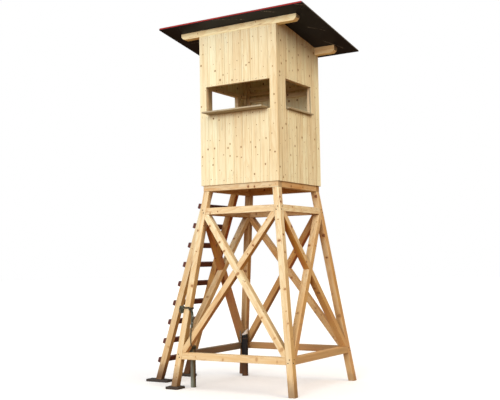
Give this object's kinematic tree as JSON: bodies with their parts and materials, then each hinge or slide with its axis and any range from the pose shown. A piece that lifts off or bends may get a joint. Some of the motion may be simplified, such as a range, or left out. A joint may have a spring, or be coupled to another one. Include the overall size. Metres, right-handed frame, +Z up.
{
  "type": "hunting stand",
  "caption": "Raised wooden hunting stand: boarded cabin with windows, gun rest and lean-to roof on splayed, cross-braced legs, reached by a rung ladder.",
  "frame": {"origin": "centre of the footprint's bounding box, on the level ground", "axes": "+Z up, -Y out of the cabin's front with the wide window and gun rest, -X towards the ladder and the entrance"},
  "size_m": [2.8104, 1.867, 4.8857],
  "materials": {
    "pine_boards": "pale planed pine boards with small dark knots, satin",
    "pine_timber": "golden sawn pine timber with red-brown knots, weathered at the feet",
    "inner_pine": "bare pine inside the cabin, matt",
    "rung_wood": "dark red-brown stained wood",
    "roof_panel": "near-black film-faced panel, satin",
    "roof_covering": "red mineral roofing felt, rough",
    "pad_wood": "wet dark weathered plank, rough",
    "grey_stake": "grey-green weathered round pole",
    "black_stake": "black tarred round pole, satin"
  },
  "bodies": {
    "root": {"back_falling_brace": "pine_timber", "back_floor_beam": "pine_timber", "back_left_leg": "pine_timber", "back_lower_rail": "pine_timber", "back_right_leg": "pine_timber", "back_rising_brace": "pine_timber", "back_stake": "black_stake", "back_upper_rail": "pine_timber", "back_wall": "pine_boards", "back_wall_frame": "inner_pine", "floor_deck": "inner_pine", "front_falling_brace": "pine_timber", "front_floor_beam": "pine_timber", "front_ladder_pad": "pad_wood", "front_left_leg": "pine_timber", "front_lower_rail": "pine_timber", "front_right_leg": "pine_timber", "front_rising_brace": "pine_timber", "front_roof_beam": "pine_timber", "front_sill": "pine_boards", "front_stake": "grey_stake", "front_stringer": "pine_timber", "front_upper_rail": "pine_timber", "front_wall": "pine_boards", "front_wall_frame": "inner_pine", "half_door": "pine_boards", "left_falling_brace": "pine_timber", "left_floor_beam": "pine_timber", "left_lower_rail": "pine_timber", "left_rising_brace": "pine_timber", "left_upper_rail": "pine_timber", "left_wall": "pine_boards", "left_wall_frame": "inner_pine", "leg_pad": "pad_wood", "rear_ladder_pad": "pad_wood", "rear_roof_beam": "pine_timber", "rear_stringer": "pine_timber", "right_falling_brace": "pine_timber", "right_floor_beam": "pine_timber", "right_lower_rail": "pine_timber", "right_rising_brace": "pine_timber", "right_sill": "pine_boards", "right_upper_rail": "pine_timber", "right_wall": "pine_boards", "right_wall_frame": "inner_pine", "roof_covering": "roof_covering", "roof_panel": "roof_panel", "rung_1": "rung_wood", "rung_2": "rung_wood", "rung_3": "rung_wood", "rung_4": "rung_wood", "rung_5": "rung_wood", "rung_6": "rung_wood", "rung_7": "rung_wood", "rung_8": "rung_wood", "rung_9": "rung_wood"}
  },
  "joints": []
}
